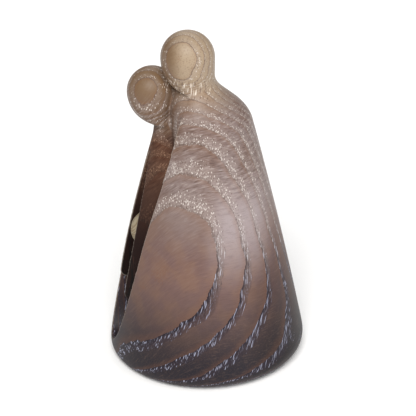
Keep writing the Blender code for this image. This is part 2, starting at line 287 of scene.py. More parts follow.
# Colours as a screen shows them, from 0 to 255; a pair is high up and low down, unless it says otherwise
TAN = ((161, 142, 119), (147, 123, 98))         # pale and dark blotches, as in the three that follow
MAUVE = ((126, 110, 106), (117, 97, 90))
BROWN = ((114, 87, 75), (105, 81, 76))
# Slate of the foot: its grey stain, made darker still as painted shade near the floor
SLATE = ((30, 25, 32), (24, 21, 30))
# Small head's colour: a darker stain with painted shade
SMALL_HEAD_SHADE_AND_STAIN = (102, 76, 50)
# Painted shade of the far side, multiplied in
FAR_SIDE_PAINTED_SHADE = (196, 188, 192)
# Painted sheen: a pale lavender patch where a soft highlight lies
PAINTED_SHEEN = (170, 159, 161)
PALE_RAY = ((168, 156, 151), (116, 92, 80))
DARK_RAY = ((74, 54, 48), (62, 44, 40))
MOTTLE = (110, 84, 64)
LATE_WOOD = ((128, 92, 66), (106, 70, 50))
# Ground of the pore bands: low down partly stain, partly painted shade round the sunk pores
BAND_GROUND = ((158, 146, 140), (36, 27, 38))
LIME = ((222, 213, 205), (166, 169, 190))
OPEN_PORE = ((80, 56, 46), (26, 18, 28))
LIME_DRIP = (226, 214, 200)
# Robe inside the opening: a darker stain and painted shade, multiplied in
ROBE_STAIN_AND_SHADE = ((186, 152, 128), (74, 42, 30))
# Painted shade in the hollows
RECESS_PAINTED_SHADE = (20, 14, 12)
CHILD_WOOD = ((126, 108, 84), (158, 146, 124))      # dark and pale rays
# Edges: rubbed pale by wear, with a painted highlight
WORN_AND_LIT_EDGE = (176, 164, 152)

# Surface
ROUGHNESS = (0.42, 0.50)        # high up and low down
ROBE_ROUGHNESS = 0.45           # how much rougher the robe is
SPECULAR = 0.25
RAY_RELIEF = 0.6                # of the rays, against that of the pores
BUMP_STRENGTH = 0.4
BUMP_HEIGHT = 0.0002
RIDGE_SPREAD = 3                # rounds that even out the measure of sharp edges


def blend_out(a, b, rounding):
    """The larger of two values, with the corner between them rounded."""
    near = max(rounding - abs(a - b), 0.0) / rounding
    return max(a, b) + near * near * rounding / 4


def blend_in(a, b, rounding):
    """The smaller of two values, with the corner between them rounded."""
    return -blend_out(-a, -b, rounding)


def ball_reach(radius, height, stretch=1.0):
    """Half-width of a ball at a height over its centre; its lower half may be stretched."""
    if height < 0:
        height /= stretch
    return math.sqrt(max(radius * radius - height * height, 0.0))


def with_head(profile, ball, part):
    """Joins a body's profile with the lower half of a head; part is 0 at its middle and 1 at its chin."""
    softness = SHOULDER_ROUNDING * 2 * math.sqrt(max(part - part * part, 0.0))
    return blend_out(profile, ball, softness) if softness > 0 else max(profile, ball)


def foot_inset(z, rounding):
    """How far the rounded edge round the underside draws in."""
    drop = min(max(rounding - z, 0.0), rounding)
    return rounding - math.sqrt(rounding * rounding - drop * drop)


def cloak_front(z):
    upper = FRONT_REACH - FRONT_TAPER * FRONT_BEND - FRONT_UPPER_TAPER * (z - FRONT_BEND)
    return blend_in(FRONT_REACH - FRONT_TAPER * z, upper, SHOULDER_ROUNDING)


def cloak_back(z):
    share = z / (TALL_HEAD_Z + TALL_HEAD_RADIUS)
    return BACK_REACH - BACK_TAPER * z - BACK_BOW * share * share


def cloak_side(z):
    return SIDE_REACH - SIDE_TAPER * z


def opening_half_width(z):
    """Half-width of the cloak's opening: an oval below its widest place and a broad dome above it."""
    if z > OPENING_WIDEST:
        part = (z - OPENING_WIDEST) / (OPENING_TOP - OPENING_WIDEST)
        roundness = OPENING_TOP_ROUNDNESS
    else:
        part = (OPENING_WIDEST - z) / (OPENING_WIDEST - OPENING_SILL)
        roundness = OPENING_ROUNDNESS
    return OPENING_HALF_WIDTH * max(1 - part ** roundness, 0.0) ** (1 / roundness)


def hollow_half_width(z):
    """Half-width of the hollow in the robe, which is a lancet."""
    part = max(z - HOLLOW_WIDEST, 0.0) / (HOLLOW_TOP - HOLLOW_WIDEST)
    return HOLLOW_HALF_WIDTH * max(1 - part ** HOLLOW_SLENDERNESS, 0.0) ** HOLLOW_FULLNESS


def heights(low, high):
    """Evenly spaced heights, closer together at both ends so that round ends stay round."""
    count = max(int(round((high - low) / RING_STEP)), 12)
    return [low + (high - low) * (1 - math.cos(math.pi * i / count)) / 2 for i in range(count + 1)]


def ring(bm, z, x, front, back, half_width):
    """One level oval of the block, between its front and its back."""
    middle = (front + back) / 2
    depth = (back - front) / 2
    points = []
    for i in range(RING_POINTS):
        turn = 2 * math.pi * i / RING_POINTS
        points.append(bm.verts.new((x + half_width * math.cos(turn), middle + depth * math.sin(turn), z)))
    return points


def skin(bm, rings):
    """Joins rings, lowest first, into one closed body."""
    for low, high in zip(rings, rings[1:]):
        for i in range(len(low)):
            j = (i + 1) % len(low)
            bm.faces.new((low[i], low[j], high[j], high[i]))
    bm.faces.new(tuple(reversed(rings[0])))
    bm.faces.new(tuple(rings[-1]))


def new_object(name, bm):
    mesh = bpy.data.meshes.new(name)
    bmesh.ops.recalc_face_normals(bm, faces=bm.faces)
    bm.to_mesh(mesh)
    bm.free()
    body = bpy.data.objects.new(name, mesh)
    bpy.context.scene.collection.objects.link(body)
    return body


def oval_body(name, section, low, high):
    """A body of level ovals; section(z) gives each oval's middle x, front, back and half-width."""
    bm = bmesh.new()
    rings = []
    for z in heights(low, high):
        x, front, back, half_width = section(z)
        rings.append(ring(bm, z, x, front, back, half_width))
    skin(bm, rings)
    return new_object(name, bm)


def front_cutter(name, half_width, low, high, back_wall):
    """A cutter that enters from the front with a given outline, down to an upright back wall."""
    levels = heights(low, high)
    outline = [(half_width(z), z) for z in levels] + [(-half_width(z), z) for z in reversed(levels)]
    bm = bmesh.new()
    near = [bm.verts.new((x, -CUTTER_REACH, z)) for x, z in outline]
    far = [bm.verts.new((x, back_wall, z)) for x, z in outline]
    bmesh.ops.remove_doubles(bm, verts=near + far, dist=1e-6)
    near = [v for v in bm.verts if v.co.y < -CUTTER_REACH / 2]
    far = [v for v in bm.verts if v.co.y > -CUTTER_REACH / 2]
    for i in range(len(near)):
        j = (i + 1) % len(near)
        bm.faces.new((near[i], near[j], far[j], far[i]))
    bm.faces.new(near)
    bm.faces.new(far)
    return new_object(name, bm)


def tall_section(z):
    """The tall figure: cloak, shoulder, neck and head, in one oval for each height."""
    slope = (TALL_NECK_FOOT - z) * SHOULDER_SPREAD
    cone_front = cloak_front(z) - foot_inset(z, FRONT_FOOT_ROUNDING)
    cone_back = cloak_back(z) - foot_inset(z, BACK_FOOT_ROUNDING)
    cone_side = cloak_side(z) - foot_inset(z, SIDE_FOOT_ROUNDING)
    ball = ball_reach(TALL_HEAD_RADIUS, z - TALL_HEAD_Z, TALL_CHIN_STRETCH)
    if z >= TALL_HEAD_Z:
        return TALL_HEAD_X, TALL_HEAD_Y - ball, TALL_HEAD_Y + ball, ball
    side_slope = (TALL_NECK_FOOT - z) * SIDE_SHOULDER_SPREAD
    back = blend_in(cone_back, TALL_NECK_BACK + slope, BACK_SHOULDER_ROUNDING)
    back = blend_out(back, TALL_NECK_BACK, SHOULDER_ROUNDING)
    front = blend_in(cone_front, slope - TALL_NECK_FRONT, NECK_ROUNDING)
    front = blend_out(front, -TALL_NECK_FRONT, NECK_ROUNDING)
    side = blend_in(cone_side, TALL_NECK_HALF_WIDTH + side_slope, NECK_ROUNDING)
    side = blend_out(side, TALL_NECK_HALF_WIDTH, NECK_ROUNDING)
    part = (TALL_HEAD_Z - z) / (TALL_HEAD_RADIUS * TALL_CHIN_STRETCH)
    if part < 1:
        back = max(back, TALL_HEAD_Y + ball)
        front = with_head(front, ball - TALL_HEAD_Y, part)
        side = with_head(side, ball, part)
    x = TALL_HEAD_X * max(z / TALL_HEAD_Z, 0.0) ** TALL_LEAN_LATENESS
    return x, -front, back, side


def small_section(z):
    """The small figure: robe, neck and head."""
    ball = ball_reach(SMALL_HEAD_RADIUS, z - SMALL_HEAD_Z, SMALL_CHIN_STRETCH)
    if z >= SMALL_HEAD_Z:
        return SMALL_HEAD_X, SMALL_HEAD_Y - ball, SMALL_HEAD_Y + ball, ball
    slope = max(SMALL_NECK_FOOT - z, 0.0) * ROBE_SPREAD
    front = blend_in(cloak_front(z) + ROBE_PROUD, slope - SMALL_NECK_FRONT, SHOULDER_ROUNDING)
    front -= foot_inset(z - ROBE_HEM, ROBE_HEM_ROUNDING)
    edge = opening_half_width(min(z, OPENING_WIDEST))
    widest = edge * ROBE_WIDTH_SHARE
    side_slope = max(SMALL_NECK_FOOT - z, 0.0) * ROBE_SIDE_SPREAD
    side = blend_in(widest, SMALL_NECK_HALF_WIDTH + side_slope, SHOULDER_ROUNDING)
    # The robe's oval is as deep as it takes to lie a little behind the cloak where the cloak's edge is
    steepness = min(edge / cloak_side(z), STEEPEST_EDGE)
    cloak_edge = cloak_front(z) * math.sqrt(1 - steepness ** 2)
    fall = 1 - math.sqrt(1 - 1 / ROBE_WIDTH_SHARE ** 2)
    depth = (cloak_front(z) + ROBE_PROUD - cloak_edge + ROBE_SINK) / fall
    nape = SMALL_NECK_BACK - (z - SMALL_NECK_FOOT) * SMALL_NAPE_SLOPE
    back = blend_in(2 * depth - front, nape, SHOULDER_ROUNDING)
    part = (SMALL_HEAD_Z - z) / (SMALL_HEAD_RADIUS * SMALL_CHIN_STRETCH)
    if part < 1:
        front = with_head(front, ball - SMALL_HEAD_Y, part)
        side = with_head(side, ball, part)
        back = with_head(back, SMALL_HEAD_Y + ball, part)
    lean = min(max((z - LEAN_START) / (SMALL_HEAD_Z - LEAN_START), 0.0), 1.0)
    x = SMALL_HEAD_X * lean * lean * (3 - 2 * lean)
    return x, -front, back, side


def chest_section(z):
    """The tall figure's chest and robe, the rounded back of the cloak's opening."""
    drop = min(max(CHEST_TOP - z, 0.0) / (CHEST_TOP - CHEST_FULL), 1.0)
    swell = math.sqrt(1 - (1 - drop) ** 2)
    front = OPENING_BACK_WALL + (CHEST_FRONT - OPENING_BACK_WALL) * swell
    width = min(OPENING_HALF_WIDTH * (1 + swell) / 2, tall_section(z)[3] - CHEST_COVER)
    return 0.0, front, 0.0, width


def child_section(z):
    """The child: a ball head on a slim wrapped body that stands against the hollow's back wall."""
    ball = ball_reach(CHILD_HEAD_RADIUS, z - CHILD_HEAD_Z)
    if z >= CHILD_HEAD_Z:
        return 0.0, CHILD_HEAD_Y - ball, CHILD_HEAD_Y + ball, ball
    height = (z - CHILD_FEET_Z) / (CHILD_HEAD_Z - CHILD_FEET_Z)
    swell = math.sin(math.pi * height * height)
    width = CHILD_BODY_HALF_WIDTH * (CHILD_FEET_WIDTH_SHARE + (1 - CHILD_FEET_WIDTH_SHARE) * swell)
    depth = CHILD_FEET_DEPTH_SHARE + (1 - CHILD_FEET_DEPTH_SHARE) * swell
    front = HOLLOW_BACK_WALL + (CHILD_BODY_FRONT - HOLLOW_BACK_WALL) * depth
    back = HOLLOW_BACK_WALL + CHILD_ROOT
    return 0.0, min(front, CHILD_HEAD_Y - ball), max(back, CHILD_HEAD_Y + ball), max(width, ball)


def combine(body, other, how):
    cut = body.modifiers.new(other.name, "BOOLEAN")
    cut.operation = how
    cut.solver = "EXACT"
    cut.object = other


def middle_of_foot():
    """How far the middle between the block's foremost and rearmost points lies from y = 0."""
    sections = [tall_section(z) for z in heights(0.0, TALL_NECK_FOOT)]
    foremost = min(front for x, front, back, side in sections)
    rearmost = max(back for x, front, back, side in sections)
    return (foremost + rearmost) / 2


def carve():
    """The whole group as one fine mesh, sawn flat at the floor and set in the CAD solid's own box."""
    block = oval_body("block_form", tall_section, -UNDERCUT, TALL_HEAD_Z + TALL_HEAD_RADIUS)
    opening_limits = (OPENING_SILL, OPENING_TOP, OPENING_BACK_WALL)
    opening = front_cutter("opening_cutter", opening_half_width, *opening_limits)
    small = oval_body("small_figure_form", small_section, ROBE_HEM, SMALL_HEAD_Z + SMALL_HEAD_RADIUS)
    hollow_limits = (ROBE_HEM - ROBE_HEM_ROUNDING, HOLLOW_TOP, HOLLOW_BACK_WALL)
    hollow = front_cutter("hollow_cutter", hollow_half_width, *hollow_limits)
    chest = oval_body("chest_form", chest_section, OPENING_SILL / 2, CHEST_TOP)
    child = oval_body("child_form", child_section, CHILD_FEET_Z, CHILD_HEAD_Z + CHILD_HEAD_RADIUS)
    # The opening is cut round the tall figure's chest, which stays part of the block
    combine(opening, chest, "DIFFERENCE")
    combine(block, opening, "DIFFERENCE")
    combine(block, small, "UNION")
    combine(block, hollow, "DIFFERENCE")

    # The child overlaps the back of the hollow, and the cells that follow fuse the two
    forms = bmesh.new()
    forms.from_mesh(evaluated_copy(block))
    forms.from_mesh(child.data)
    joined = bpy.data.meshes.new("carved_group")
    forms.to_mesh(joined)
    forms.free()
    for form in (block, opening, small, hollow, chest, child):
        bpy.data.objects.remove(form)
    piece = bpy.data.objects.new("carved_group", joined)
    bpy.context.scene.collection.objects.link(piece)
    fuse = piece.modifiers.new("fuse", "REMESH")
    fuse.mode = "VOXEL"
    fuse.voxel_size = CARVING_STEP
    sand = piece.modifiers.new("sand", "SMOOTH")
    sand.factor = SANDING
    sand.iterations = EDGE_SOFTENING
    apply_modifiers(piece)

    # The cells leave faces of four corners, which count as two triangles each
    thin = piece.modifiers.new("thin", "DECIMATE")
    thin.ratio = FACETS / (2 * len(piece.data.polygons))
    apply_modifiers(piece)
    saw_flat(piece.data)
    fit_to_cad(piece.data)
    return piece


def apply_modifiers(body):
    old = body.data
    body.data = evaluated_copy(body)
    body.modifiers.clear()
    bpy.data.meshes.remove(old)


def evaluated_copy(body):
    bpy.context.view_layer.update()
    depsgraph = bpy.context.evaluated_depsgraph_get()
    return bpy.data.meshes.new_from_object(body.evaluated_get(depsgraph))


def saw_flat(mesh):
    """Cuts the block off flat at the floor."""
    bm = bmesh.new()
    bm.from_mesh(mesh)
    everything = bm.verts[:] + bm.edges[:] + bm.faces[:]
    cut = bmesh.ops.bisect_plane(
        bm, geom=everything, plane_co=(0, 0, 0), plane_no=(0, 0, 1), clear_inner=True)
    rim = [edge for edge in cut["geom_cut"] if isinstance(edge, bmesh.types.BMEdge)]
    bmesh.ops.contextual_create(bm, geom=rim)
    bmesh.ops.triangulate(bm, faces=[face for face in bm.faces if len(face.verts) > 4])
    bmesh.ops.recalc_face_normals(bm, faces=bm.faces)
    bm.to_mesh(mesh)
    bm.free()


def fit_to_cad(mesh):
    """Centres the foot as the CAD part does, and trims the last hundredths of a millimetre to its box."""
    points = mesh_points(mesh)
    points[:, 1] -= middle_of_foot()
    low, high = points.min(0), points.max(0)
    cad_low, cad_high = (np.array(corner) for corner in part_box(NODE))
    points = cad_low + (points - low) * (cad_high - cad_low) / (high - low)
    mesh.vertices.foreach_set("co", points.ravel())
    mesh.update()


def mesh_points(mesh):
    points = np.empty(len(mesh.vertices) * 3)
    mesh.vertices.foreach_get("co", points)
    return points.reshape(-1, 3)


def store(mesh, name, values):
    layer = mesh.attributes.new(name, "FLOAT", "POINT")
    layer.data.foreach_set("value", values.astype(np.float32))


def mark_recess(mesh):
    """Stores how far each point lies inside the cloak's outside, in millimetres, for the painted shade in the
    hollows.
    """
    count = int((TALL_HEAD_Z + TALL_HEAD_RADIUS) / RING_STEP)
    levels = np.array([tall_section(i * RING_STEP) for i in range(count)])
    points = mesh_points(mesh)
    at = np.clip(points[:, 2] / RING_STEP, 0, count - 1)
    low = np.minimum(at.astype(int), count - 2)
    share = (at - low)[:, None]
    x, front, back, side = (levels[low] * (1 - share) + levels[low + 1] * share).T
    across = (points[:, 0] - x) / side
    along = (points[:, 1] + middle_of_foot() - (front + back) / 2) / ((back - front) / 2)
    inside = (1 - np.hypot(across, along)) * side * MM
    inside[points[:, 2] > TALL_HEAD_Z] = 0.0
    store(mesh, "recess", np.maximum(inside, 0.0))


def mark_robe(mesh):
    """Stores how far each point lies inside the cloak's opening, in millimetres, for the robe's darker stain
    and painted shade.
    """
    points = mesh_points(mesh)
    edge = np.zeros(len(points))
    for i, z in enumerate(points[:, 2]):
        if OPENING_SILL < z < OPENING_TOP:
            edge[i] = opening_half_width(z)
    inside = np.where(points[:, 1] < 0, edge - np.abs(points[:, 0]), 0.0) * MM
    store(mesh, "robe", np.maximum(inside, 0.0))


def mark_ridges(mesh):
    """Stores how sharply the surface turns at each point: over 0 on an edge, under 0 in a crease."""
    points = mesh_points(mesh)
    normals = np.empty(len(mesh.vertices) * 3)
    mesh.vertices.foreach_get("normal", normals)
    normals = normals.reshape(-1, 3)
    edges = np.empty(len(mesh.edges) * 2, int)
    mesh.edges.foreach_get("vertices", edges)
    start, end = edges.reshape(-1, 2).T
    link = points[end] - points[start]
    length = np.maximum((link ** 2).sum(1), 1e-12)
    turn = (link * (normals[end] - normals[start])).sum(1) / length
    total = np.bincount(start, turn, len(points)) + np.bincount(end, turn, len(points))
    count = np.bincount(start, minlength=len(points)) + np.bincount(end, minlength=len(points))
    ridge = total / np.maximum(count, 1)
    for _ in range(RIDGE_SPREAD):
        near = np.bincount(start, ridge[end], len(points)) + np.bincount(end, ridge[start], len(points))
        ridge = (ridge + near / np.maximum(count, 1)) / 2
    store(mesh, "ridge", ridge / MM)


class Nodes:
    """Short ways to make and join shader nodes."""

    def __init__(self, material):
        material.use_nodes = True
        self.tree = material.node_tree
        self.tree.nodes.clear()

    def put(self, kind, inputs=None, **settings):
        made = self.tree.nodes.new(kind)
        for name, value in settings.items():
            setattr(made, name, value)
        for name, value in (inputs or {}).items():
            self.feed(made.inputs[name], value)
        return made

    def feed(self, socket, value):
        if isinstance(value, bpy.types.NodeSocket):
            self.tree.links.new(value, socket)
        else:
            socket.default_value = value

    def maths(self, operation, *values):
        made = self.tree.nodes.new("ShaderNodeMath")
        made.operation = operation
        for socket, value in zip(made.inputs, values):
            self.feed(socket, value)
        return made.outputs[0]

    def product(self, first, *others):
        for other in others:
            first = self.maths("MULTIPLY", first, other)
        return first

    def step(self, value, low, high, to_low=0.0, to_high=1.0):
        """A smooth step of a value between two limits."""
        made = self.put("ShaderNodeMapRange", {
            "Value": value, "From Min": low, "From Max": high, "To Min": to_low, "To Max": to_high,
        }, interpolation_type="SMOOTHSTEP")
        return made.outputs["Result"]

    def mix(self, share, first, second, blend="MIX"):
        """A mix of two colours, either of which may be three numbers as a screen shows it."""
        made = self.put("ShaderNodeMix", data_type="RGBA", blend_type=blend)
        self.feed(made.inputs["Factor"], share)
        sockets = [socket for socket in made.inputs if socket.type == "RGBA"]
        for socket, colour in zip(sockets, (first, second)):
            self.feed(socket, linear(colour) if isinstance(colour, tuple) else colour)
        return [socket for socket in made.outputs if socket.type == "RGBA"][0]

    def attribute(self, name):
        return self.put("ShaderNodeAttribute", attribute_name=name).outputs["Fac"]

    def mix_number(self, share, first, second):
        return self.maths("MULTIPLY_ADD", share, second - first, first)

    def scaled_vector(self, *axes):
        """A vector made of three values, each times its own number."""
        x, y, z = (self.maths("MULTIPLY", value, scale) for value, scale in axes)
        return self.put("ShaderNodeCombineXYZ", {"X": x, "Y": y, "Z": z}).outputs[0]

    def axes(self, vector):
        return self.put("ShaderNodeSeparateXYZ", {"Vector": vector}).outputs

    def noise(self, where, scale, detail):
        made = self.put("ShaderNodeTexNoise", {"Vector": where, "Scale": scale, "Detail": detail})
        return made.outputs["Fac"]

    def noise_axes(self, where, scale, detail):
        made = self.put("ShaderNodeTexNoise", {"Vector": where, "Scale": scale, "Detail": detail})
        return self.axes(made.outputs["Color"])

    def distance(self, first, second):
        made = self.put("ShaderNodeVectorMath", {0: first, 1: second}, operation="DISTANCE")
        return made.outputs["Value"]

    def wobble(self, *parts):
        """Noise values round zero, each times its own reach, added up."""
        total = 0.0
        for value, reach in parts:
            total = self.maths("MULTIPLY_ADD", self.maths("SUBTRACT", value, 0.5), reach, total)
        return total


def linear(colour):
    """A colour given as a screen shows it, 0 to 255, in the linear values that shaders take."""
    values = []
    for level in colour:
        share = level / 255
        values.append(((share + 0.055) / 1.055) ** 2.4 if share > 0.04045 else share / 12.92)
    return (*values, 1.0)


def in_grain(x, y, z):
    """A point of the forms, in millimetres of the finished block's own frame."""
    return Vector((x, y - middle_of_foot(), z)) * MM


def measure(n):
    """What the looks of a point of the wood hang on: its place in millimetres, its height and its ring."""
    block = n.put("ShaderNodeTexCoord").outputs["Object"]
    spot = SimpleNamespace()
    spot.place = n.put("ShaderNodeVectorMath", {0: block, "Scale": MM}, operation="SCALE").outputs[0]
    axes = n.axes(spot.place)
    spot.x, spot.y, spot.z = axes["X"], axes["Y"], axes["Z"]
    spot.low_down = n.step(spot.z, *LOW_DOWN)
    spot.on_heads = n.step(spot.z, *ON_HEADS)
    spot.lime = n.mix(spot.low_down, *LIME)
    spot.open_pore = n.mix(spot.low_down, *OPEN_PORE)
    depth = ring_depth(n, spot)
    count_rings(n, spot, depth)
    return spot


def ring_depth(n, spot):
    """How deep a point lies below the youngest ring; its place from the pith line is kept for the pores."""
    wide = n.noise_axes(spot.place, WIDE_WAVES, 1.0)
    small = n.noise_axes(spot.place, SMALL_WAVES, 2.0)
    rise = n.maths("SUBTRACT", spot.z, RING_REFERENCE_Z)
    rise_2 = n.maths("MULTIPLY", rise, rise)
    rise_3 = n.maths("MULTIPLY", rise_2, rise)
    pith_x = n.maths("MULTIPLY_ADD", rise, PITH_X_SLOPE, PITH_X)
    pith_x = n.maths("MULTIPLY_ADD", rise_2, PITH_X_BOW, pith_x)
    pith_x = n.maths("MULTIPLY_ADD", rise_3, PITH_X_TWIST, pith_x)
    pith_y = n.maths("MULTIPLY_ADD", rise, PITH_Y_SLOPE, PITH_Y)
    pith_y = n.maths("MULTIPLY_ADD", rise_3, PITH_Y_TWIST, pith_y)
    spot.from_x = n.maths("SUBTRACT", spot.x, pith_x)
    spot.from_y = n.maths("SUBTRACT", spot.y, pith_y)
    stray_x = n.wobble((wide["X"], WIDE_WOBBLE), (small["X"], SMALL_WOBBLE))
    stray_y = n.wobble((wide["Y"], WIDE_WOBBLE), (small["Y"], SMALL_WOBBLE))
    ring_x = n.maths("ADD", spot.from_x, stray_x)
    ring_y = n.maths("ADD", spot.from_y, stray_y)
    square = n.maths("ADD", n.product(ring_x, ring_x), n.product(ring_y, ring_y))
    depth = n.maths("SUBTRACT", OUTER_RING_RADIUS, n.maths("SQRT", square))

    tall_head = in_grain(TALL_HEAD_X, TALL_HEAD_Y, TALL_HEAD_Z)
    small_head = in_grain(SMALL_HEAD_X, SMALL_HEAD_Y, SMALL_HEAD_Z)
    tall_oval = (TALL_HEAD_RADIUS * MM, TALL_OVAL_FACING, TALL_OVAL_DEPTH)
    small_oval = (SMALL_HEAD_RADIUS * MM, SMALL_OVAL_FACING, SMALL_OVAL_DEPTH)
    depth = head_depth(n, spot, small["X"], depth, tall_head, *tall_oval)
    return head_depth(n, spot, small["X"], depth, small_head, *small_oval)


def head_depth(n, spot, wobble, depth, centre, radius, facing, first):
    """Near a head the rings run round an oval of its own, which faces the given way."""
    facing = Vector(facing).normalized()
    dot = n.put("ShaderNodeVectorMath", {0: spot.place, 1: facing}, operation="DOT_PRODUCT")
    top = centre.dot(facing) + radius + FIRST_RING_DEPTH - first
    below_top = n.maths("SUBTRACT", top, dot.outputs["Value"])
    own = n.maths("ADD", below_top, n.wobble((wobble, HEAD_OVAL_WOBBLE)))
    off = n.maths("SUBTRACT", spot.z, centre.z + radius * facing.z)
    own = n.maths("MULTIPLY_ADD", n.product(off, off), -HEAD_OVAL_STRETCH, own)
    inner, outer = HEAD_OVAL_EDGE
    near = n.step(n.distance(spot.place, centre), radius + inner, radius + outer, 1.0, 0.0)
    others = n.maths("MULTIPLY", depth, n.maths("SUBTRACT", 1.0, near))
    return n.maths("MULTIPLY_ADD", own, near, others)


def count_rings(n, spot, depth):
    """Keeps a point's part of its year's wood, the strength of the pore band, and the ring's dark edge."""
    share = n.maths("DIVIDE", n.maths("MAXIMUM", depth, LEAST_DEPTH), FIRST_RING_DEPTH)
    ring = n.maths("POWER", share, 1 / RING_GROWTH)
    fraying = n.wobble((n.noise(spot.place, FRAYING_WAVES, 3.0), FRAYING))
    ring = n.maths("MULTIPLY_ADD", fraying, n.step(spot.z, *FRAYING_HEIGHTS), ring)
    spot.part = n.maths("FRACT", ring)
    real = n.step(ring, *FIRST_BAND)
    filled = n.maths("DIVIDE", spot.part, n.step(spot.z, *BAND_WIDTH))
    band = n.maths("MAXIMUM", n.maths("SUBTRACT", 1.0, filled), 0.0)
    band = n.product(n.maths("POWER", band, BAND_FULLNESS), real)
    spot.band = n.product(band, n.mix_number(spot.on_heads, 1.0, BAND_ON_HEADS))
    spot.edge = n.product(n.step(spot.part, *RING_EDGE), real)


def pore_tubes(n, spot, band, depth, width, length, crowding):
    """Long tubes along the grain, which show round where the surface cuts across them and else as streaks."""
    below = n.maths("MAXIMUM", n.maths("SUBTRACT", LEAN_TOP, spot.z), 0.0)
    from_y = n.maths("ADD", spot.from_y, n.product(below, GRAIN_LEAN))
    where = n.scaled_vector((spot.from_x, 1 / depth), (from_y, 1 / width), (spot.z, 1 / length))
    tubes = n.put("ShaderNodeTexVoronoi", {"Vector": where, "Scale": 1.0}, feature="F1")
    cell = n.axes(tubes.outputs["Color"])
    mark = n.step(tubes.outputs["Distance"], *PORE_RIM)
    present = n.step(n.maths("MULTIPLY_ADD", band, crowding, cell["X"]), *PORE_CHANCE)
    return n.product(mark, present), cell["Y"]


def stain(n, spot):
    """Stain: tan heads, mauve shoulders, a brown body and a slate foot, in blotches. The slate foot is made
    darker than its stain as painted shade, the small head takes a darker stain with painted shade, the far
    side has a painted shade and the front of the body a painted sheen.
    """
    blotch = n.step(n.noise(spot.place, BLOTCH_WAVES, 3.0), *BLOTCH_SPAN)
    patch = n.step(n.noise(spot.place, PATCH_WAVES, 2.0), *PATCH_SPAN)
    # Darker towards the foot: the slate stain, made darker still as painted shade near the floor
    wood = n.mix(n.step(spot.z, *SLATE_TO_BROWN), n.mix(patch, *SLATE), n.mix(patch, *BROWN))
    wood = n.mix(n.step(spot.z, *BROWN_TO_MAUVE), wood, n.mix(blotch, *MAUVE))
    wood = n.mix(n.step(spot.z, *MAUVE_TO_TAN), wood, n.mix(blotch, *TAN))
    # A darker stain with painted shade on the small head
    on_small_head = n.product(n.step(spot.y, *SMALL_HEAD_Y_DARKENING), n.step(spot.z, *SMALL_HEAD_Z_DARKENING))
    wood = n.mix(n.product(on_small_head, SMALL_HEAD_DARKENING_SHARE), wood, SMALL_HEAD_SHADE_AND_STAIN)
    # Painted shade: the far side, low and middle, is darkened where less light falls
    painted_far_shade = n.product(n.step(spot.y, *FAR_SIDE_Y), n.step(spot.z, *FAR_SIDE_Z))
    wood = n.mix(painted_far_shade, wood, FAR_SIDE_PAINTED_SHADE, "MULTIPLY")
    # Painted sheen: a pale lavender patch on the front of the body, in place of a soft highlight
    painted_sheen = n.product(
        n.step(spot.y, *SHEEN_FRONT), n.step(spot.y, *SHEEN_BACK),
        n.step(spot.z, *SHEEN_LOW), n.step(spot.z, *SHEEN_HIGH), SHEEN_SHARE)
    return n.mix(painted_sheen, wood, PAINTED_SHEEN)


def brush(n, spot, wood):
    """Brushed rays, which climb from the front edge and level out, and a fine mottle."""
    front = n.maths("MINIMUM", spot.y, 0.0)
    climb = n.maths("MULTIPLY_ADD", n.product(front, front), RAY_CLIMB, spot.z)
    where = n.scaled_vector((spot.x, RAY_WAVES_ALONG), (spot.y, RAY_WAVES_ALONG), (climb, RAY_WAVES_UP))
    spot.rays = n.noise(where, 1.0, 3.0)
    strength = n.product(n.step(spot.z, *RAY_FADE_ON_HEADS), n.step(spot.z, *RAY_FADE_ON_SHOULDER))
    pale = n.product(n.step(spot.rays, *PALE_RAY_SPAN), strength, PALE_RAY_SHARE)
    dark = n.product(n.step(spot.rays, *DARK_RAY_SPAN), strength, DARK_RAY_SHARE)
    wood = n.mix(pale, wood, n.mix(spot.low_down, *PALE_RAY))
    wood = n.mix(dark, wood, n.mix(spot.low_down, *DARK_RAY))
    mottle = n.step(n.noise(spot.place, MOTTLE_WAVES, 2.0), *MOTTLE_SPAN)
    wood = n.mix(n.product(mottle, n.mix_number(spot.on_heads, *MOTTLE_SHARE)), wood, MOTTLE)
    return n.mix(n.step(spot.part, *LATE_PART), wood, n.mix(spot.low_down, *LATE_WOOD))


def lime(n, spot, wood):
    """Pore bands: dark ground with limed flecks low down, a pale net with brown specks higher up."""
    # Low down the ground between the pores is dark: partly stain, partly painted shade round the sunk pores
    darkness = n.step(spot.low_down, *BAND_DARKNESS)
    wood = n.mix(n.product(spot.band, darkness), wood, n.mix(spot.low_down, *BAND_GROUND))
    long_pore, long_kind = pore_tubes(n, spot, spot.band, *LONG_PORE)
    short_pore, short_kind = pore_tubes(n, spot, spot.band, *SHORT_PORE)
    short_pore = n.product(short_pore, n.mix_number(spot.low_down, 1.0, SHORT_PORE_LOW_DOWN))
    wood = n.mix(n.product(short_pore, n.step(short_kind, *SHORT_LIMED)), wood, spot.lime)
    wood = n.mix(n.product(short_pore, n.step(short_kind, *SHORT_OPEN)), wood, spot.open_pore)
    outline = n.maths("MAXIMUM", darkness, n.product(spot.on_heads, EDGE_ON_HEADS))
    wood = n.mix(n.product(spot.edge, outline), wood, spot.open_pore)
    streak = n.product(long_pore, n.step(spot.low_down, *LONG_PORE_ONSET))
    wood = n.mix(n.product(streak, n.step(long_kind, *LONG_OPEN)), wood, spot.open_pore)
    wood = n.mix(n.product(streak, n.step(long_kind, *LONG_LIMED)), wood, spot.lime)
    spot.pores = n.maths("ADD", streak, short_pore)
    return wood


def lime_chin(n, spot, wood):
    """Limed drips along the grain under the tall head's chin."""
    chin = n.product(
        n.step(spot.z, *CHIN_LOW), n.step(spot.z, *CHIN_HIGH),
        n.step(spot.y, *CHIN_FRONT), n.step(spot.y, *CHIN_BACK))
    drip, kind = pore_tubes(n, spot, chin, *DRIP_PORE)
    wood = n.mix(n.product(drip, n.step(kind, *DRIP_LIMED)), wood, LIME_DRIP)
    return n.mix(n.product(drip, n.step(kind, *DRIP_OPEN)), wood, spot.open_pore)


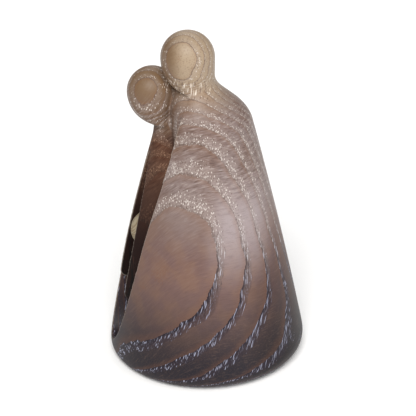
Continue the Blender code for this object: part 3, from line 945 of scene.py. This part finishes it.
def shade_and_rub(n, spot, wood):
    """Darker stain and painted shade in the robe, painted shade in the recesses, the child's pale head, and
    edges rubbed pale with a painted highlight.
    """
    # The robe inside the cloak's opening takes a darker stain and painted shade, darker low down
    spot.robe = n.product(n.step(n.attribute("robe"), *ROBE_EDGE), n.step(spot.z, *ROBE_TOP))
    robe_stain_and_shade = n.mix(n.step(spot.z, *ROBE_DARKER), *ROBE_STAIN_AND_SHADE)
    wood = n.mix(spot.robe, wood, robe_stain_and_shade, "MULTIPLY")
    # Painted shade: nearly black in the hollows and recesses deep inside the cloak's outside
    wood = n.mix(n.step(n.attribute("recess"), *RECESS_DEPTH), wood, RECESS_PAINTED_SHADE)
    child_head = in_grain(0.0, CHILD_HEAD_Y, CHILD_HEAD_Z)
    reach = CHILD_HEAD_RADIUS * MM + CHILD_HEAD_MARGIN
    on_child = n.step(n.distance(spot.place, child_head), reach, reach - CHILD_HEAD_MARGIN)
    child_wood = n.mix(n.step(spot.rays, *CHILD_RAY_SPAN), *CHILD_WOOD)
    wood = n.mix(on_child, wood, child_wood)
    # Edges rubbed pale by wear, and painted pale as a highlight where the rims catch the light
    return n.mix(n.step(n.attribute("ridge"), *PALE_EDGE_SHARPNESS), wood, WORN_AND_LIT_EDGE)


def limed_wood():
    """Ring-porous wood, stained and limed: rows of pale pores along the year rings."""
    material = bpy.data.materials.new("limed_wood")
    n = Nodes(material)
    spot = measure(n)
    wood = stain(n, spot)
    wood = brush(n, spot, wood)
    wood = lime(n, spot, wood)
    wood = lime_chin(n, spot, wood)
    wood = shade_and_rub(n, spot, wood)
    height = n.maths("SUBTRACT", n.product(spot.rays, RAY_RELIEF), spot.pores)
    bump = n.put("ShaderNodeBump", {"Height": height, "Strength": BUMP_STRENGTH, "Distance": BUMP_HEIGHT})
    shader = n.put("ShaderNodeBsdfPrincipled", {"Base Color": wood, "Normal": bump.outputs[0]})
    roughness = n.mix_number(spot.low_down, *ROUGHNESS)
    n.feed(shader.inputs["Roughness"], n.maths("MULTIPLY_ADD", spot.robe, ROBE_ROUGHNESS, roughness))
    shader.inputs["Specular IOR Level"].default_value = SPECULAR
    n.put("ShaderNodeOutputMaterial", {"Surface": shader.outputs[0]})
    return material


def pale_floor():
    material = bpy.data.materials.new("studio_paper")
    n = Nodes(material)
    paper = {"Base Color": (FLOOR_SHADE, FLOOR_SHADE, FLOOR_SHADE, 1), "Roughness": FLOOR_ROUGHNESS}
    shader = n.put("ShaderNodeBsdfPrincipled", paper)
    n.put("ShaderNodeOutputMaterial", {"Surface": shader.outputs[0]})
    mesh = bpy.data.meshes.new("floor")
    reach = FLOOR_REACH
    corners = [(-reach, -reach, 0), (reach, -reach, 0), (reach, reach, 0), (-reach, reach, 0)]
    mesh.from_pydata(corners, [], [(0, 1, 2, 3)])
    floor = bpy.data.objects.new("floor", mesh)
    floor.location.z = -FLOOR_DROP
    mesh.materials.append(material)
    bpy.context.scene.collection.objects.link(floor)
    return floor


def view_axes(azimuth, elevation):
    """Right, up and back of a view from a given side, in degrees round from the front and up."""
    turn, rise = math.radians(azimuth), math.radians(elevation)
    back = Vector((math.sin(turn) * math.cos(rise), -math.cos(turn) * math.cos(rise), math.sin(rise)))
    right = Vector((math.cos(turn), math.sin(turn), 0))
    return right, back.cross(right), back


def aim(name, data, azimuth, elevation, distance, target):
    """Sets a camera or lamp up on a given side of a target, looking at it."""
    body = bpy.data.objects.new(name, data)
    bpy.context.scene.collection.objects.link(body)
    right, up, back = view_axes(azimuth, elevation)
    turned = Matrix((right, up, back)).transposed().to_4x4()
    body.matrix_world = Matrix.Translation(target + back * distance) @ turned
    return body


def add_camera():
    camera = bpy.data.cameras.new("camera")
    camera.sensor_width = SENSOR
    camera.lens = FOCAL_PIXELS / IMAGE_SIZE * SENSOR
    camera.shift_x = (IMAGE_SIZE / 2 - PRINCIPAL_X) / IMAGE_SIZE
    body = aim("camera", camera, CAMERA_AZIMUTH, CAMERA_ELEVATION, CAMERA_DISTANCE, CAMERA_TARGET)
    bpy.context.scene.camera = body


def soft_light(name, azimuth, elevation, distance, size, power, colour):
    light = bpy.data.lights.new(name, "AREA")
    light.shape = "DISK"
    light.size = size
    light.energy = power
    light.color = colour
    aim(name, light, azimuth, elevation, distance, LAMPS_AIM)


def add_sky():
    """A wide patch of even sky, which lights the floor as much far off as near."""
    light = bpy.data.lights.new("sky", "SUN")
    light.angle = math.radians(SKY_SPREAD)
    light.energy = SKY_POWER
    light.color = SKY_COLOUR
    aim("sky", light, SKY_AZIMUTH, SKY_ELEVATION, 1.0, LAMPS_AIM)


def add_world():
    """Dim even light from all round; the camera itself sees plain white behind the floor."""
    world = bpy.data.worlds.new("studio")
    world.use_nodes = True
    nodes, links = world.node_tree.nodes, world.node_tree.links
    room = nodes["Background"]
    room.inputs["Color"].default_value = (1.0, 1.0, 1.0, 1)
    room.inputs["Strength"].default_value = ROOM_LIGHT
    behind = nodes.new("ShaderNodeBackground")
    behind.inputs["Color"].default_value = (1.0, 1.0, 1.0, 1)
    path = nodes.new("ShaderNodeLightPath")
    seen = nodes.new("ShaderNodeMixShader")
    links.new(path.outputs["Is Camera Ray"], seen.inputs["Fac"])
    links.new(room.outputs[0], seen.inputs[1])
    links.new(behind.outputs[0], seen.inputs[2])
    links.new(seen.outputs[0], nodes["World Output"].inputs["Surface"])
    bpy.context.scene.world = world


def build():
    piece = carve()
    mark_recess(piece.data)
    mark_robe(piece.data)
    mark_ridges(piece.data)
    piece.data.materials.append(limed_wood())
    piece.data.shade_smooth()
    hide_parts(NODE)
    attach(piece, "root")
    pale_floor()
    add_world()
    add_camera()
    for lamp in LAMPS:
        soft_light(*lamp)
    add_sky()
    bpy.context.scene.view_settings.view_transform = "Standard"


build()
